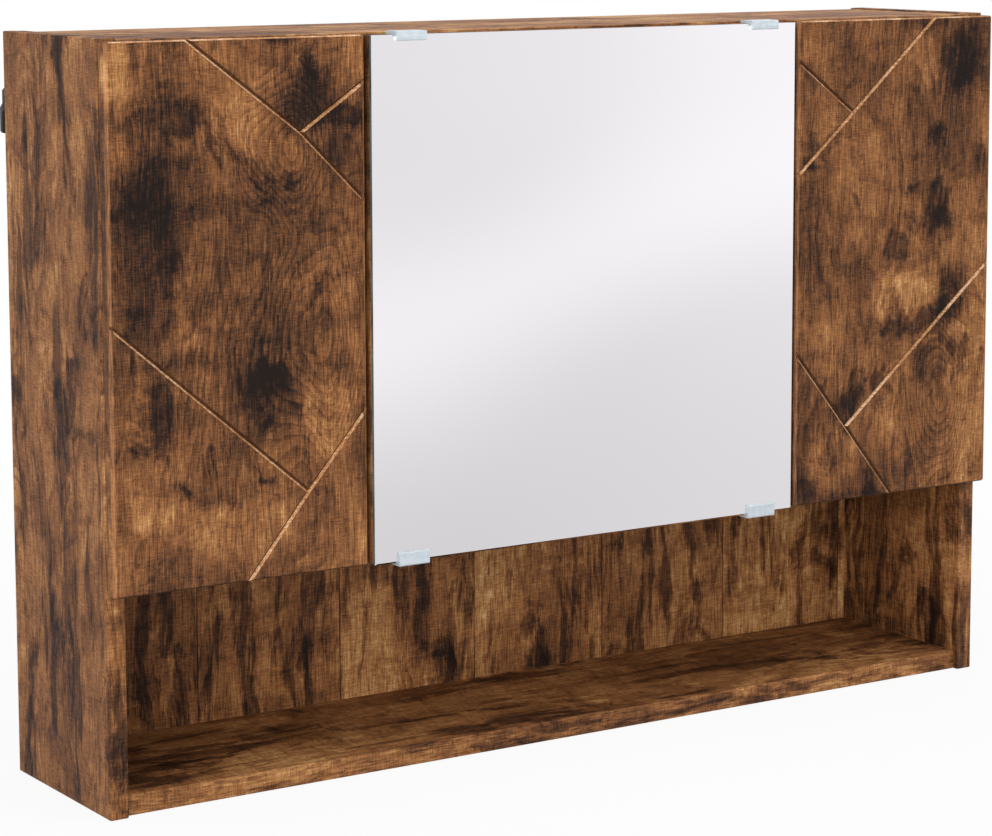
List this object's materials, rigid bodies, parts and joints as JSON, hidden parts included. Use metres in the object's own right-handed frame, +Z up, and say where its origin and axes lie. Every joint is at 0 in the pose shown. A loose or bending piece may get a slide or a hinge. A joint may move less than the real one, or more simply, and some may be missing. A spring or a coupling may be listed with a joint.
{
  "type": "mirror cabinet",
  "caption": "Wall-hung bathroom cabinet with plain side doors, a mirror door between them and an open shelf below.",
  "frame": {"origin": "on the wall plane, midway between the two wall screws that the hangers hook over", "axes": "+X to the right seen from the front, +Y back to the wall, +Z up"},
  "size_m": [0.8, 0.1824, 0.55],
  "materials": {
    "smoked_oak_film": "printed smoked-oak film on particleboard, satin",
    "smoked_oak_door": "printed smoked-oak foil on MDF, satin, cut V grooves",
    "printed_hardboard": "hardboard with a printed plank pattern, satin",
    "mirror": "silvered float glass with a chamfered edge",
    "clear_plastic": "clear bluish moulded plastic",
    "clear_rubber": "clear soft rubber",
    "nickel_steel": "nickel-plated pressed steel",
    "bright_steel": "zinc-plated steel",
    "zinc": "die-cast zinc, bare",
    "beech": "fluted beech, bare",
    "black_steel": "black powder coat, satin"
  },
  "bodies": {
    "cabinet": {"left_side": "smoked_oak_film", "right_side": "smoked_oak_film", "top_panel": "smoked_oak_film", "bottom_panel": "smoked_oak_film", "middle_panel": "smoked_oak_film", "left_partition": "smoked_oak_film", "right_partition": "smoked_oak_film", "left_shelf": "smoked_oak_film", "middle_shelf": "smoked_oak_film", "right_shelf": "smoked_oak_film", "back_panel": "printed_hardboard", "left_hinge_arms": "nickel_steel", "left_hinge_plates": "nickel_steel", "left_hinge_plate_screws": "bright_steel", "left_hinge_arm_screws": "bright_steel", "right_hinge_arms": "nickel_steel", "right_hinge_plates": "nickel_steel", "right_hinge_plate_screws": "bright_steel", "right_hinge_arm_screws": "bright_steel", "mirror_hinge_arms": "nickel_steel", "mirror_hinge_plates": "nickel_steel", "mirror_hinge_plate_screws": "bright_steel", "mirror_hinge_arm_screws": "bright_steel", "left_shelf_pins": "bright_steel", "middle_shelf_pins": "bright_steel", "right_shelf_pins": "bright_steel", "cam_housings": "zinc", "cam_bolts": "bright_steel", "dowels": "beech", "partition_screws": "bright_steel", "back_nails": "bright_steel", "left_hanger": "black_steel", "right_hanger": "black_steel", "hanger_screws": "bright_steel"},
    "left_door": {"left_door": "smoked_oak_door", "left_hinge_cups": "nickel_steel", "left_hinge_pins": "bright_steel", "left_hinge_cup_screws": "bright_steel", "left_door_bumpers": "clear_rubber"},
    "mirror_door": {"mirror_door": "smoked_oak_door", "mirror_hinge_cups": "nickel_steel", "mirror_hinge_pins": "bright_steel", "mirror_hinge_cup_screws": "bright_steel", "mirror_door_bumpers": "clear_rubber", "mirror_glass": "mirror", "mirror_clips": "clear_plastic", "mirror_clip_screws": "bright_steel"},
    "right_door": {"right_door": "smoked_oak_door", "right_hinge_cups": "nickel_steel", "right_hinge_pins": "bright_steel", "right_hinge_cup_screws": "bright_steel", "right_door_bumpers": "clear_rubber"}
  },
  "joints": [
    {"name": "left_door_hinge", "type": "hinge", "parent": "cabinet", "child": "left_door", "pos_m": [-0.395, -0.17, 0], "axis": [0, 0, -1], "range_deg": [0, 95]},
    {"name": "mirror_door_hinge", "type": "hinge", "parent": "cabinet", "child": "mirror_door", "pos_m": [0.188, -0.171, 0], "axis": [0, 0, 1], "range_deg": [0, 95]},
    {"name": "right_door_hinge", "type": "hinge", "parent": "cabinet", "child": "right_door", "pos_m": [0.395, -0.17, 0], "axis": [0, 0, 1], "range_deg": [0, 95]}
  ]
}
